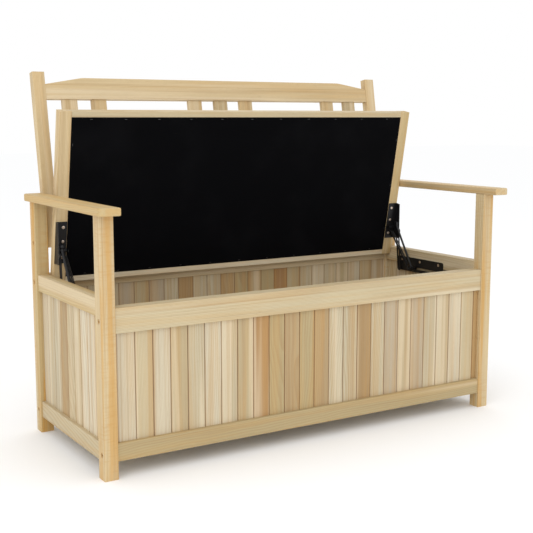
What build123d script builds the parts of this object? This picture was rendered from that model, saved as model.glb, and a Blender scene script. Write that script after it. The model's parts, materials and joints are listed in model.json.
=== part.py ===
from build123d import *
import math
import os

# Patio storage bench: a timber box with boarded walls, a slatted back and a lid on two spring stays.
# X runs along the bench, the front is towards -Y, and the legs stand on Z 0. The lid stands open.

os.makedirs("parts", exist_ok=True)

# Driving dimensions, in millimetres and degrees

# Box
box_length = 1150.0          # over the outer faces of the legs
box_depth = 454.0            # over the front and rear faces of the legs
leg_size = 34.0
leg_height = 596.0
leg_round = 2.0
rail_setback = 4.0           # outer face of a rail behind the leg's face
rail_round = 1.5
front_top_height = 57.0
front_top_thick = 36.0
end_top_height = 41.0        # side and rear top rails
end_top_level = 410.0        # upper face of the side and rear top rails
rear_rail_thick = 23.0
bottom_rail_thick = 24.0
bottom_rail_height = 42.0
bottom_rail_level = 40.0     # lower face of the bottom rails
rail_tenon_length = 10.0
rail_tenon_thick = 14.0
rail_tenon_shoulder = 8.0
joint_slack = 0.15           # clearance on each side of tenons and grooves

# Boards
board_pitch = 44.15
board_thick = 10.0
board_setback = 9.5          # outer face of a board behind the rail's face
board_gap = 0.8
board_bevel = 1.4
board_end_depth = 8.0        # how far the ends go into the rails
tongue_length = 4.0
tongue_thick = 3.4
front_first_board = 50.6     # the board beside the left front leg
side_first_board = 38.0
floor_thick = 10.0
floor_pitch = 90.0
floor_gap = 2.0
cleat_size = 20.0
cleat_level = 46.0

# Armrests
arm_width = 50.0
arm_thick = 18.0
arm_front_overhang = 42.0
arm_rear_overhang = 3.0
arm_corner = 13.0
arm_edge = 3.0
leg_tenon = 18.0
leg_tenon_height = 10.0

# Back
back_lean = 9.96
post_width = 32.0
post_depth = 23.4
post_face_inset = 6.4        # post face in front of the legs' rear face, at the armrest's upper face
post_below = 138.0           # along the lean, from the armrest's upper face
post_above = 308.7
crest_low = 240.0            # along the lean, from the armrest's upper face
crest_end = 278.0
crest_high = 295.4
crest_shoulder = 101.0       # length of each slanted shoulder
crest_knee = 90.0
crest_inset = 2.0            # face of the rails behind the posts' face
crest_thick = 20.0
lower_rail_low = -115.0
lower_rail_height = 40.0
back_tenon_length = 10.0
back_tenon_thick = 10.0
slat_width = 41.0
slat_thick = 12.0
slat_inset = 6.0
slat_end_depth = 8.0
slat_inner_pitch = 81.4      # centre slat to its neighbours
slat_outer_pitch = 80.7      # within an outer pair
slat_pair_from_post = 63.8   # last slat's centre to the post

# Frame bolts
bolt_radius = 3.0
bolt_clearance = 0.3
bolt_head_radius = 5.0
bolt_head_height = 6.0
bolt_recess_radius = 5.6
bolt_recess_depth = 7.0
bolt_reach = 44.0            # into the rail, from its end
socket_size = 5.0
socket_depth = 3.0
barrel_radius = 5.0
barrel_length = 12.0
barrel_from_end = 34.0
front_bolt_inset = 14.0      # from the leg's outer front or rear face
rear_bolt_inset = 16.0
front_top_bolt = 361.5
rear_top_bolt = 390.0
bottom_bolt = 58.0
post_bolt_drop = 106.0       # below the leg's top
post_bolt_inset = 19.5
post_nut_radius = 6.5
post_nut_height = 5.0
post_screw_drop = 30.0       # below the leg's top
post_screw_inset = 8.0
post_screw_radius = 2.5
post_screw_reach = 18.0
post_screw_head = 4.5
post_screw_head_height = 2.5

# Lid
lid_open = 79.3              # turn from closed to the open pose
lid_gap = 2.5                # each side, to the box
lid_above = 13.0             # upper face above the pivot, when closed
lid_below = 11.0             # lower face below the pivot, when closed
lid_behind = 10.0            # rear edge behind the pivot
lid_length = 435.4
pivot_inset = 45.0           # pivot in front of the legs' rear face
pivot_level = 401.6
pivot_radius = 3.0
pivot_slack = 0.05
pivot_in_lid = 20.0
pivot_in_rail = 22.0
lid_rail_width = 32.0
lid_groove_depth = 10.0
lid_groove_width = 8.0
seat_slats = 7
seat_slat_gap = 3.0
cloth_thick = 0.8
cloth_side_margin = 31.5
cloth_front_margin = 14.6
cloth_rear_margin = 15.0
staple_length = 6.0
staple_wire = 0.8
staple_proud = 0.3
staple_inset = 5.0
staples_long = 11
staples_short = 3

# Lid stays, as layers from the box's inner face towards the middle
plate_thick = 2.0
layer_gap = 1.0
link_thick = 2.0
arm_radius = 3.0
arm_layer = 12.0             # arm's centre from the box's inner face
spring_layer = 23.0          # spring's centre from the box's inner face
# Places on the lid bracket, forward of the lid's pivot and below it when closed
bracket_rear = 41.3
bracket_front = 149.7
bracket_front_depth = 25.8
bracket_rear_depth = 44.8
bracket_rear_slant = 7.0
bracket_width = 29.5
link_pivot = (69.2, 37.6)
link_lug = 8.0
arm_pivot = (90.38, 31.30)
spring_post = (77.4, 19.0)
bracket_screws = (57.4, 98.4, 135.4)
bracket_screw_inset = 20.0
# Arm and check link
arm_length = 150.0
arm_droop = 58.1             # below level, open
arm_rate = 0.6697            # arm's turn for each unit of the lid's turn
arm_eye = 7.0
arm_eye_thick = 7.0
guide_angle = 39.76          # guide pin below level, seen from the lid's pivot
link_width = 14.0
pin_slack = 0.05
slot_slack = 0.3
guide_radius = 2.5
post_radius = 3.0
pin_head = 5.0
pin_head_height = 1.0
runner_head_gap = 0.6
runner_head_height = 2.0
runner_reach = 6.0           # past the spring's centre
# Plate on the box
box_plate_margin = 10.0
box_plate_top = 388.0
box_plate_low = 346.0
box_plate_corner = 6.0
box_screw_level = 379.0
box_screw_inset = 20.0
screw_radius = 2.0
screw_length = 16.0
screw_head = 4.0
screw_head_height = 2.0
# Spring
spring_wire = 0.8            # radius of the wire
spring_radius = 4.4
spring_turns = 46
spring_lead = 16.0           # from a pin's centre to the first turn
hook_radius = 4.1
hook_tail = 2.4
slot_steps = 12              # places along the running pin's path

# Places that follow from the driving dimensions
leg_out = box_length / 2
leg_in = leg_out - leg_size
arm_top = leg_height + arm_thick
lean = math.radians(back_lean)
back_reach = (box_depth - post_face_inset + post_above * math.sin(lean) + post_depth * math.cos(lean))
front_face = (arm_front_overhang - back_reach) / 2
rear_face = front_face + box_depth
front_leg_back = front_face + leg_size
rear_leg_front = rear_face - leg_size
rail_out = leg_out - rail_setback
rail_front = front_face + rail_setback
rail_rear = rear_face - rail_setback
side_rail_in = leg_in
end_top_low = end_top_level - end_top_height
bottom_rail_top = bottom_rail_level + bottom_rail_height
bottom_rail_in = rail_out - bottom_rail_thick
pivot_y = rear_face - pivot_inset
front_top_level = pivot_level - lid_below - cloth_thick - 2 * staple_proud - joint_slack
front_top_low = front_top_level - front_top_height
lid_side = leg_in - lid_gap
lid_rail_in = lid_side - lid_rail_width
lid_front = lid_length - lid_behind
board_low = bottom_rail_top - board_end_depth
sides = (("left", -1), ("right", 1))

back_plane = Plane(
    origin=(0, rear_face - post_face_inset, arm_top),
    x_dir=(1, 0, 0),
    z_dir=(0, -math.cos(lean), math.sin(lean)),
)
turn = math.radians(lid_open)
lid_plane = Plane(
    origin=(0, pivot_y, pivot_level),
    x_dir=(1, 0, 0),
    z_dir=(0, math.sin(turn), math.cos(turn)),
)


def span(a, b):
    """Order two numbers as (low, high)."""
    return (min(a, b), max(a, b))


def block(x, y, z, mode=Mode.ADD):
    """Add or cut a box that spans three (low, high) pairs."""
    with Locations(((x[0] + x[1]) / 2, (y[0] + y[1]) / 2, (z[0] + z[1]) / 2)):
        Box(x[1] - x[0], y[1] - y[0], z[1] - z[0], mode=mode)


def rod(x, y, z, radius, mode=Mode.ADD):
    """Add or cut a cylinder along X, over the (low, high) pair x."""
    with Locations(((x[0] + x[1]) / 2, y, z)):
        Cylinder(radius, x[1] - x[0], rotation=(0, 90, 0), mode=mode)


def grown(pair, slack):
    """Widen a (low, high) pair by a clearance on both sides."""
    return (pair[0] - slack, pair[1] + slack)


def save(builder, name):
    """Label a finished piece and write it."""
    builder.part.label = name
    export_step(builder.part, f"parts/{name}.step")


def forward(near, far):
    """Turn two distances forward of the lid's pivot into a (low, high) pair of the lid's plane."""
    return (-far, -near)


def lid_point(place):
    """Place in the open pose, as (y, z), of a point given forward of and below the lid's pivot."""
    point = lid_plane.from_local_coords((0, -place[0], -place[1]))
    return (point.Y, point.Z)


def turned(place, angle):
    """Place, as (y, z), of a lid point after the lid has closed by an angle in degrees."""
    y, z = lid_point(place)
    c, s = math.cos(math.radians(angle)), math.sin(math.radians(angle))
    return (
        pivot_y + (y - pivot_y) * c - (z - pivot_level) * s,
        pivot_level + (y - pivot_y) * s + (z - pivot_level) * c,
    )


def runner_place(angle):
    """Place, as (y, z), of the arm's running pin after the lid has closed by an angle in degrees."""
    y, z = turned(arm_pivot, angle)
    droop = math.radians(arm_droop - arm_rate * angle)
    return (y - arm_length * math.cos(droop), z - arm_length * math.sin(droop))


# The guide pin lies as far from the lid's pivot as the link's pivot does, so the link turns half as far.
link_open = lid_point(link_pivot)
link_shut = turned(link_pivot, lid_open)
link_swing = math.hypot(link_pivot[0], link_pivot[1])
guide_fall = math.radians(guide_angle)
guide_place = (pivot_y - link_swing * math.cos(guide_fall), pivot_level - link_swing * math.sin(guide_fall))

# Layers of the stays, as distances from the middle of the bench
plate_layer = (leg_in - plate_thick, leg_in)
flange_layer = (plate_layer[0] - layer_gap - plate_thick, plate_layer[0] - layer_gap)
link_layer = (flange_layer[0] - layer_gap - link_thick, flange_layer[0] - layer_gap)
arm_centre = leg_in - arm_layer
spring_centre = leg_in - spring_layer

# Path of the arm's running pin, and the plate on the box that it runs in
slot_path = [runner_place(lid_open * number / slot_steps) for number in range(slot_steps + 1)]
slot_width = 2 * (arm_radius + slot_slack)
plate_y = (min(y for y, z in slot_path) - box_plate_margin, guide_place[0] + box_plate_margin + guide_radius)
plate_z = (box_plate_low, box_plate_top)
plate_middle = (sum(plate_y) / 2, sum(plate_z) / 2)
box_screw_places = [
    (y, box_screw_level)
    for y in (plate_y[0] + box_screw_inset, plate_middle[0], plate_y[1] - box_screw_inset)
]

# Bolt places on the legs, as (y, z)
front_bolt_y = front_face + front_bolt_inset
rear_bolt_y = rear_face - rear_bolt_inset
front_bolts = ((front_bolt_y, front_top_bolt), (front_bolt_y, bottom_bolt))
rear_bolts = ((rear_bolt_y, rear_top_bolt), (rear_bolt_y, bottom_bolt))
post_bolt = (rear_face - post_bolt_inset, leg_height - post_bolt_drop)
bolt_hole = bolt_radius + bolt_clearance
post_screw = (rear_face - post_screw_inset, leg_height - post_screw_drop)
leg_middle = (leg_in + leg_out) / 2
side_tenon_x = (rail_out - rail_tenon_shoulder - rail_tenon_thick, rail_out - rail_tenon_shoulder)
side_levels = {
    "top": (end_top_low, end_top_level),
    "bottom": (bottom_rail_level, bottom_rail_top),
}


def tenon_height(level):
    """Height of a rail's tenon, as a (low, high) pair, from the rail's own height."""
    return (level[0] + rail_tenon_shoulder, level[1] - rail_tenon_shoulder)


def board_groove(level, name):
    """Height of a rail's groove for the boards: low in a top rail, high in a bottom rail."""
    if "top" in name:
        return (level[0], level[0] + board_end_depth)
    return (level[1] - board_end_depth, level[1])


def cap_screw(sign, seat, end, place):
    """Add a socket-head screw along X, from where its head seats to where it ends."""
    top = seat + bolt_head_height
    rod(span(sign * end, sign * seat), *place, bolt_radius)
    rod(span(sign * seat, sign * top), *place, bolt_head_radius)
    mouth = Plane(origin=(sign * top, *place), x_dir=(0, 1, 0), z_dir=(-sign, 0, 0))
    with BuildSketch(mouth) as socket:
        RegularPolygon(socket_size / 2, 6, major_radius=False)
    extrude(socket.sketch, amount=socket_depth, mode=Mode.SUBTRACT)


# Legs
for row, bolts, leg_y, rail_side in (
    ("front", front_bolts, (front_face, front_leg_back), 1),
    ("rear", rear_bolts + (post_bolt,), (rear_leg_front, rear_face), -1),
):
    middle_y = (leg_y[0] + leg_y[1]) / 2
    rail_end = leg_y[1] if rail_side > 0 else leg_y[0]
    for side, sign in sides:
        with BuildPart() as leg:
            block(span(sign * leg_in, sign * leg_out), leg_y, (0, leg_height))
            fillet(leg.edges().filter_by(Axis.Z), leg_round)
            with Locations((sign * leg_middle, middle_y, leg_height + leg_tenon_height / 2)):
                Box(leg_tenon, leg_tenon, leg_tenon_height)
            for level in side_levels.values():
                block(
                    grown(span(sign * side_tenon_x[0], sign * side_tenon_x[1]), joint_slack),
                    span(rail_end, rail_end - rail_side * (rail_tenon_length + joint_slack)),
                    grown(tenon_height(level), joint_slack),
                    Mode.SUBTRACT,
                )
            for place in bolts:
                rod(span(sign * leg_in, sign * leg_out), *place, bolt_hole, Mode.SUBTRACT)
                recess = span(sign * (leg_out - bolt_recess_depth), sign * leg_out)
                rod(recess, *place, bolt_recess_radius, Mode.SUBTRACT)
            if row == "rear":
                screw_hole = span(sign * leg_in, sign * (leg_in + post_screw_reach))
                rod(screw_hole, *post_screw, post_screw_radius, Mode.SUBTRACT)
        save(leg, f"{row}_leg_{side}")

# Armrests
for side, sign in sides:
    arm_x = span(sign * leg_in, sign * (leg_in + arm_width))
    arm_y = (front_face - arm_front_overhang, rear_face + arm_rear_overhang)
    with BuildPart() as armrest:
        block(arm_x, arm_y, (leg_height, arm_top))
        outer = armrest.edges().filter_by(Axis.Z).sort_by(lambda edge: sign * edge.center().X)[-2:]
        fillet(outer, arm_corner)
        rim = armrest.faces().sort_by(Axis.Z)
        fillet(rim[-1].edges() + rim[0].edges(), arm_edge)
        for middle_y in (front_face + leg_size / 2, rear_face - leg_size / 2):
            half = leg_tenon / 2 + joint_slack
            block(
                (sign * leg_middle - half, sign * leg_middle + half),
                (middle_y - half, middle_y + half),
                (leg_height, leg_height + leg_tenon_height + joint_slack),
                Mode.SUBTRACT,
            )
    save(armrest, f"armrest_{side}")

# Side rails, with tenons in the legs and a groove for the boards
wall_out = rail_out - board_setback
board_slot = (wall_out - board_thick, wall_out)
for side, sign in sides:
    for name, level in side_levels.items():
        inner = side_rail_in if name == "top" else bottom_rail_in
        groove_z = board_groove(level, name)
        with BuildPart() as rail:
            block(span(sign * inner, sign * rail_out), (front_leg_back, rear_leg_front), level)
            fillet(rail.edges().filter_by(Axis.Y), rail_round)
            block(
                span(sign * side_tenon_x[0], sign * side_tenon_x[1]),
                (front_leg_back - rail_tenon_length, rear_leg_front + rail_tenon_length),
                tenon_height(level),
            )
            block(
                grown(span(sign * board_slot[0], sign * board_slot[1]), joint_slack),
                (front_leg_back, rear_leg_front),
                groove_z,
                Mode.SUBTRACT,
            )
            if name == "top":
                seat = span(sign * side_rail_in, sign * (side_rail_in + pivot_in_rail))
                rod(seat, pivot_y, pivot_level, pivot_radius, Mode.SUBTRACT)
                for place in box_screw_places:
                    hole = span(sign * side_rail_in, sign * (plate_layer[0] + screw_length))
                    rod(hole, *place, screw_radius, Mode.SUBTRACT)
        save(rail, f"side_{name}_rail_{side}")

# Front and rear rails, bolted to the legs, with grooves for the boards and holes for the barrel nuts
front_wall = rail_front + board_setback
rear_wall = rail_rear - board_setback
front_slot = (front_wall, front_wall + board_thick)
rear_slot = (rear_wall - board_thick, rear_wall)
long_rails = {
    "front_top_rail": (
        (rail_front, rail_front + front_top_thick),
        (front_top_low, front_top_level),
        front_slot,
        (front_bolt_y, front_top_bolt),
    ),
    "front_bottom_rail": (
        (rail_front, rail_front + bottom_rail_thick),
        side_levels["bottom"],
        front_slot,
        (front_bolt_y, bottom_bolt),
    ),
    "rear_top_rail": (
        (rail_rear - rear_rail_thick, rail_rear),
        side_levels["top"],
        rear_slot,
        (rear_bolt_y, rear_top_bolt),
    ),
    "rear_bottom_rail": (
        (rail_rear - bottom_rail_thick, rail_rear),
        side_levels["bottom"],
        rear_slot,
        (rear_bolt_y, bottom_bolt),
    ),
}
for name, (rail_y, level, slot, place) in long_rails.items():
    groove_z = board_groove(level, name)
    inner_y = rail_y[1] if "front" in name else rail_y[0]
    past_bolt = place[0] + (-1 if "front" in name else 1) * barrel_length / 2
    with BuildPart() as rail:
        block((-leg_in, leg_in), rail_y, level)
        fillet(rail.edges().filter_by(Axis.X), rail_round)
        block((-leg_in, leg_in), grown(slot, joint_slack), groove_z, Mode.SUBTRACT)
        for side, sign in sides:
            rod(span(sign * (leg_in - bolt_reach), sign * leg_in), *place, bolt_hole, Mode.SUBTRACT)
            depth = span(past_bolt, inner_y)
            with Locations((sign * (leg_in - barrel_from_end), sum(depth) / 2, place[1])):
                hole = barrel_radius + joint_slack
                Cylinder(hole, depth[1] - depth[0], rotation=(90, 0, 0), mode=Mode.SUBTRACT)
    save(rail, name)


def board_outline(start, stop, first, last):
    """Points of one board's section: bevelled edges, a groove where it starts, a tongue where it stops."""
    a = start if first else start + board_gap / 2
    b = stop if last else stop - board_gap / 2
    low = (board_thick - tongue_thick) / 2
    high = low + tongue_thick
    slack = joint_slack
    points = [(a + board_bevel, 0), (b - board_bevel, 0), (b, board_bevel)]
    if not last:
        tip = b + tongue_length
        points += [(b, low), (tip, low), (tip, high), (b, high)]
    points += [(b, board_thick), (a, board_thick)]
    if not first:
        root = a + tongue_length
        points += [(a, high + slack), (root, high + slack), (root, low - slack), (a, low - slack)]
    points += [(a, board_bevel)]
    return points


def board_wall(plane, start, stop, first_width, height):
    """Add a wall of boards on a plane whose X runs along the wall and whose Y goes inwards."""
    edges = [start]
    edge = start + first_width
    while edge < stop - 2 * tongue_length:
        edges.append(edge)
        edge += board_pitch
    edges.append(stop)
    for number in range(len(edges) - 1):
        first = number == 0
        last = number == len(edges) - 2
        with BuildSketch(plane) as section:
            with BuildLine():
                Polyline(board_outline(edges[number], edges[number + 1], first, last), close=True)
            make_face()
        extrude(section.sketch, amount=height)


# Walls of tongue-and-groove boards, and the floor
front_board_height = front_top_low + board_end_depth - joint_slack - board_low
end_board_height = end_top_low + board_end_depth - joint_slack - board_low
with BuildPart() as boards:
    wall = Plane(origin=(0, front_wall, board_low), x_dir=(1, 0, 0), z_dir=(0, 0, 1))
    board_wall(wall, -leg_in, leg_in, front_first_board, front_board_height)
save(boards, "front_boards")
with BuildPart() as boards:
    wall = Plane(origin=(0, rear_wall, board_low), x_dir=(-1, 0, 0), z_dir=(0, 0, 1))
    board_wall(wall, -leg_in, leg_in, front_first_board, end_board_height)
save(boards, "rear_boards")
for side, sign in sides:
    with BuildPart() as boards:
        wall = Plane(origin=(sign * wall_out, 0, board_low), x_dir=(0, sign, 0), z_dir=(0, 0, 1))
        ends = span(sign * front_leg_back, sign * rear_leg_front)
        board_wall(wall, ends[0], ends[1], side_first_board, end_board_height)
    save(boards, f"side_boards_{side}")

floor_front = rail_front + bottom_rail_thick
floor_rear = rail_rear - bottom_rail_thick
cleat_top = cleat_level + cleat_size
with BuildPart() as cleats:
    for cleat_y in ((floor_front, floor_front + cleat_size), (floor_rear - cleat_size, floor_rear)):
        block((-leg_in + floor_gap, leg_in - floor_gap), cleat_y, (cleat_level, cleat_top))
save(cleats, "floor_cleats")
floor_count = round(2 * leg_in / floor_pitch)
floor_step = 2 * leg_in / floor_count
with BuildPart() as floor:
    with Locations((0, (floor_front + floor_rear) / 2, cleat_top + floor_thick / 2)):
        with GridLocations(floor_step, 1, floor_count, 1):
            Box(floor_step - floor_gap, floor_rear - floor_front - floor_gap, floor_thick)
save(floor, "floor_boards")

# Back: posts, top and lower rails and slats, drawn along the lean
post_in = leg_in - post_width
crest_face = (-crest_inset - crest_thick, -crest_inset)
crest_middle = sum(crest_face) / 2
back_tenon_n = (crest_middle - back_tenon_thick / 2, crest_middle + back_tenon_thick / 2)
lower_rail = (lower_rail_low, lower_rail_low + lower_rail_height)
slat_n = (-slat_inset - slat_thick, -slat_inset)
slat_s = (lower_rail[1] - slat_end_depth, crest_low + slat_end_depth)
outer_slat = post_in - slat_pair_from_post
slat_places = [0.0]
for place in (slat_inner_pitch, outer_slat - slat_outer_pitch, outer_slat):
    slat_places += [-place, place]


def rail_tenon(low, high):
    """Extent along the lean of a back rail's tenon."""
    return (low + rail_tenon_shoulder, high - rail_tenon_shoulder)


for side, sign in sides:
    with BuildPart(back_plane) as post:
        block(span(sign * post_in, sign * leg_in), (-post_below, post_above), (-post_depth, 0))
        fillet(post.edges().filter_by(Axis(back_plane.origin, back_plane.y_dir)), leg_round)
        for low, high in (lower_rail, (crest_low, crest_end)):
            block(
                span(sign * post_in, sign * (post_in + back_tenon_length + joint_slack)),
                grown(rail_tenon(low, high), joint_slack),
                grown(back_tenon_n, joint_slack),
                Mode.SUBTRACT,
            )
    with BuildPart() as bored_post:
        add(post.part)
        across = span(sign * post_in, sign * leg_in)
        rod(across, *post_bolt, bolt_hole, Mode.SUBTRACT)
        rod(across, *post_screw, post_screw_radius + bolt_clearance, Mode.SUBTRACT)
    save(bored_post, f"back_post_{side}")

with BuildPart() as crest:
    with BuildSketch(back_plane.offset(-crest_inset)):
        with BuildLine():
            knee = post_in - crest_shoulder
            Polyline(
                (-post_in, crest_low), (post_in, crest_low), (post_in, crest_end), (knee, crest_high),
                (-knee, crest_high), (-post_in, crest_end), close=True,
            )
        face = make_face()
        fillet(face.vertices().group_by(Axis.Y)[-1], crest_knee)
    extrude(amount=-crest_thick)
    fillet(crest.faces().sort_by(Axis.Z)[-1].edges().filter_by(Axis.X), rail_round)
with BuildPart(back_plane) as crest_joints:
    for side, sign in sides:
        block(
            span(sign * post_in, sign * (post_in + back_tenon_length)),
            rail_tenon(crest_low, crest_end),
            back_tenon_n,
        )
with BuildPart(back_plane) as crest_mortises:
    for place in slat_places:
        half = slat_width / 2 + joint_slack
        block(
            (place - half, place + half),
            (crest_low, slat_s[1] + joint_slack),
            grown(slat_n, joint_slack),
        )
with BuildPart() as back_top_rail:
    add(crest.part)
    add(crest_joints.part)
    add(crest_mortises.part, mode=Mode.SUBTRACT)
save(back_top_rail, "back_top_rail")

with BuildPart(back_plane) as back_bottom_rail:
    block((-post_in, post_in), lower_rail, crest_face)
    fillet(back_bottom_rail.edges().filter_by(Axis.X), rail_round)
    block(
        (-post_in - back_tenon_length, post_in + back_tenon_length),
        rail_tenon(*lower_rail),
        back_tenon_n,
    )
    for place in slat_places:
        half = slat_width / 2 + joint_slack
        block(
            (place - half, place + half),
            (slat_s[0], lower_rail[1]),
            grown(slat_n, joint_slack),
            Mode.SUBTRACT,
        )
save(back_bottom_rail, "back_bottom_rail")

with BuildPart(back_plane) as back_slats:
    for place in slat_places:
        block((place - slat_width / 2, place + slat_width / 2), slat_s, slat_n)
    fillet(back_slats.edges().filter_by(Axis(back_plane.origin, back_plane.y_dir)), rail_round)
save(back_slats, "back_slats")

# Frame bolts with their barrel nuts, and the bolts, nuts and screws of the back posts
bolt_seat = leg_out - bolt_recess_depth
with BuildPart() as frame_bolts:
    for side, sign in sides:
        for place in front_bolts + rear_bolts:
            cap_screw(sign, bolt_seat, leg_in - bolt_reach + bolt_clearance, place)
save(frame_bolts, "frame_bolts")
with BuildPart() as barrel_nuts:
    for side, sign in sides:
        for place in front_bolts + rear_bolts:
            with Locations((sign * (leg_in - barrel_from_end), *place)):
                Cylinder(barrel_radius, barrel_length, rotation=(90, 0, 0))
            across = leg_in - barrel_from_end + barrel_radius
            rod(span(sign * (across - 2 * barrel_radius), sign * across), *place, bolt_radius, Mode.SUBTRACT)
save(barrel_nuts, "barrel_nuts")
with BuildPart() as post_bolts:
    for side, sign in sides:
        cap_screw(sign, bolt_seat, post_in - post_nut_height, post_bolt)
save(post_bolts, "post_bolts")
with BuildPart() as post_nuts:
    for side, sign in sides:
        nut = span(sign * (post_in - post_nut_height), sign * post_in)
        with BuildSketch(Plane.YZ.offset(nut[0])):
            with Locations(post_bolt):
                RegularPolygon(post_nut_radius, 6)
                Circle(bolt_radius, mode=Mode.SUBTRACT)
        extrude(amount=post_nut_height)
save(post_nuts, "post_nuts")
with BuildPart() as post_screws:
    for side, sign in sides:
        rod(span(sign * post_in, sign * (leg_in + post_screw_reach)), *post_screw, post_screw_radius)
        rod(span(sign * (post_in - post_screw_head_height), sign * post_in), *post_screw, post_screw_head)
save(post_screws, "post_screws")
with BuildPart() as hinge_pins:
    for side, sign in sides:
        pin = span(sign * (lid_side - pivot_in_lid + pivot_slack), sign * (side_rail_in + pivot_in_rail))
        rod(pin, pivot_y, pivot_level, pivot_radius)
save(hinge_pins, "hinge_pins")

# Lid: side rails, seat slats tongued into them, cloth and staples
lid_u = (-lid_below, lid_above)
lid_middle_u = sum(lid_u) / 2
tongue_u = (lid_middle_u - lid_groove_width / 2, lid_middle_u + lid_groove_width / 2)
lid_a = forward(-lid_behind, lid_front)
for side, sign in sides:
    with BuildPart(lid_plane) as lid_rail:
        block(span(sign * lid_rail_in, sign * lid_side), lid_a, lid_u)
        fillet(lid_rail.edges().filter_by(Axis(lid_plane.origin, lid_plane.y_dir)), rail_round)
        block(
            span(sign * lid_rail_in, sign * (lid_rail_in + lid_groove_depth)),
            lid_a,
            grown(tongue_u, joint_slack),
            Mode.SUBTRACT,
        )
        bore = span(sign * (lid_side - pivot_in_lid), sign * lid_side)
        rod(bore, 0, 0, pivot_radius + pivot_slack, Mode.SUBTRACT)
        for place in bracket_screws:
            with Locations((sign * (lid_side - bracket_screw_inset), -place, -lid_below + screw_length / 2)):
                Cylinder(screw_radius, screw_length, mode=Mode.SUBTRACT)
    save(lid_rail, f"lid_side_rail_{side}")

cloth_x = lid_side - cloth_side_margin
cloth_near = -lid_behind + cloth_rear_margin
cloth_far = lid_front - cloth_front_margin
staple_places = []
for number in range(staples_long):
    x = (2 * (number + 0.5) / staples_long - 1) * (cloth_x - staple_inset)
    for place in (cloth_near + staple_inset, cloth_far - staple_inset):
        staple_places.append((x, place, 0))
for number in range(staples_short):
    place = cloth_near + (number + 0.5) * (cloth_far - cloth_near) / staples_short
    for x in (-cloth_x + staple_inset, cloth_x - staple_inset):
        staple_places.append((x, place, 90))
crown_u = -lid_below - cloth_thick - staple_proud + staple_wire / 2


def staple_shape(slack, mode=Mode.ADD):
    """Add or cut the crown of every staple, sunk in the cloth's face."""
    wire = staple_wire + 2 * slack
    for x, place, angle in staple_places:
        with Locations(Location((x, -place, crown_u), (0, 0, angle))):
            Box(staple_length + 2 * slack, wire, wire, mode=mode)


slat_step = (lid_length + seat_slat_gap) / seat_slats
tongue_x = lid_rail_in + lid_groove_depth - joint_slack
with BuildPart(lid_plane) as slats:
    for number in range(seat_slats):
        near = -lid_behind + number * slat_step
        slat_a = forward(near, near + slat_step - seat_slat_gap)
        block((-lid_rail_in, lid_rail_in), slat_a, lid_u)
    fillet(slats.edges().filter_by(Axis.X), rail_round)
    for number in range(seat_slats):
        near = -lid_behind + number * slat_step
        slat_a = forward(near, near + slat_step - seat_slat_gap)
        block((-tongue_x, tongue_x), slat_a, tongue_u)
save(slats, "seat_slats")

with BuildPart(lid_plane) as lid_cloth:
    block((-cloth_x, cloth_x), forward(cloth_near, cloth_far), (-lid_below - cloth_thick, -lid_below))
    staple_shape(pin_slack, Mode.SUBTRACT)
save(lid_cloth, "lid_cloth")
with BuildPart(lid_plane) as cloth_staples:
    staple_shape(0)
save(cloth_staples, "cloth_staples")

# Lid brackets: a plate under the lid, and a flange that carries the pins of the stay
bracket_x = (flange_layer[1] - bracket_width, flange_layer[1])
for side, sign in sides:
    flange_x = span(sign * flange_layer[0], sign * flange_layer[1])
    with BuildPart(lid_plane) as lid_bracket:
        block(
            span(sign * bracket_x[0], sign * bracket_x[1]),
            forward(bracket_rear, bracket_front),
            (-lid_below - plate_thick, -lid_below),
        )
        flange_plane = Plane(
            origin=lid_plane.from_local_coords((flange_x[0], 0, 0)),
            x_dir=lid_plane.y_dir,
            z_dir=(1, 0, 0),
        )
        with BuildSketch(flange_plane):
            with BuildLine():
                Polyline(
                    (-bracket_rear, -lid_below),
                    (-bracket_front, -lid_below),
                    (-bracket_front, -bracket_front_depth),
                    (-bracket_rear - bracket_rear_slant, -bracket_rear_depth),
                    close=True,
                )
            make_face()
            with Locations((-link_pivot[0], -link_pivot[1])):
                Circle(link_lug)
        extrude(amount=plate_thick)
        pin_holes = ((link_pivot, guide_radius), (arm_pivot, arm_radius), (spring_post, post_radius))
        for place, radius in pin_holes:
            rod(flange_x, -place[0], -place[1], radius, Mode.SUBTRACT)
        for place in bracket_screws:
            with Locations((sign * (lid_side - bracket_screw_inset), -place, -lid_below - plate_thick / 2)):
                Cylinder(screw_radius + pin_slack, plate_thick, mode=Mode.SUBTRACT)
    save(lid_bracket, f"lid_bracket_{side}")

with BuildPart(lid_plane) as lid_bracket_screws:
    for side, sign in sides:
        for place in bracket_screws:
            x = sign * (lid_side - bracket_screw_inset)
            head_top = -lid_below - plate_thick
            with Locations((x, -place, head_top + (screw_length + plate_thick) / 2)):
                Cylinder(screw_radius, screw_length + plate_thick)
            with Locations((x, -place, head_top - screw_head_height / 2)):
                Cylinder(screw_head, screw_head_height)
save(lid_bracket_screws, "lid_bracket_screws")

# Pins on the lid brackets: link pivot, arm pivot and spring post, each with a head that keeps its piece on
arm_face = arm_centre - arm_eye_thick / 2
post_end = spring_centre - spring_radius - 2 * spring_wire
for side, sign in sides:
    with BuildPart(lid_plane) as stay_pins:
        for place, radius, end in (
            (link_pivot, guide_radius, link_layer[0]),
            (arm_pivot, arm_radius, arm_face),
            (spring_post, post_radius, post_end),
        ):
            rod(span(sign * end, sign * flange_layer[1]), -place[0], -place[1], radius)
            rod(span(sign * (end - pin_head_height), sign * end), -place[0], -place[1], pin_head)
    save(stay_pins, f"stay_pins_{side}")

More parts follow.
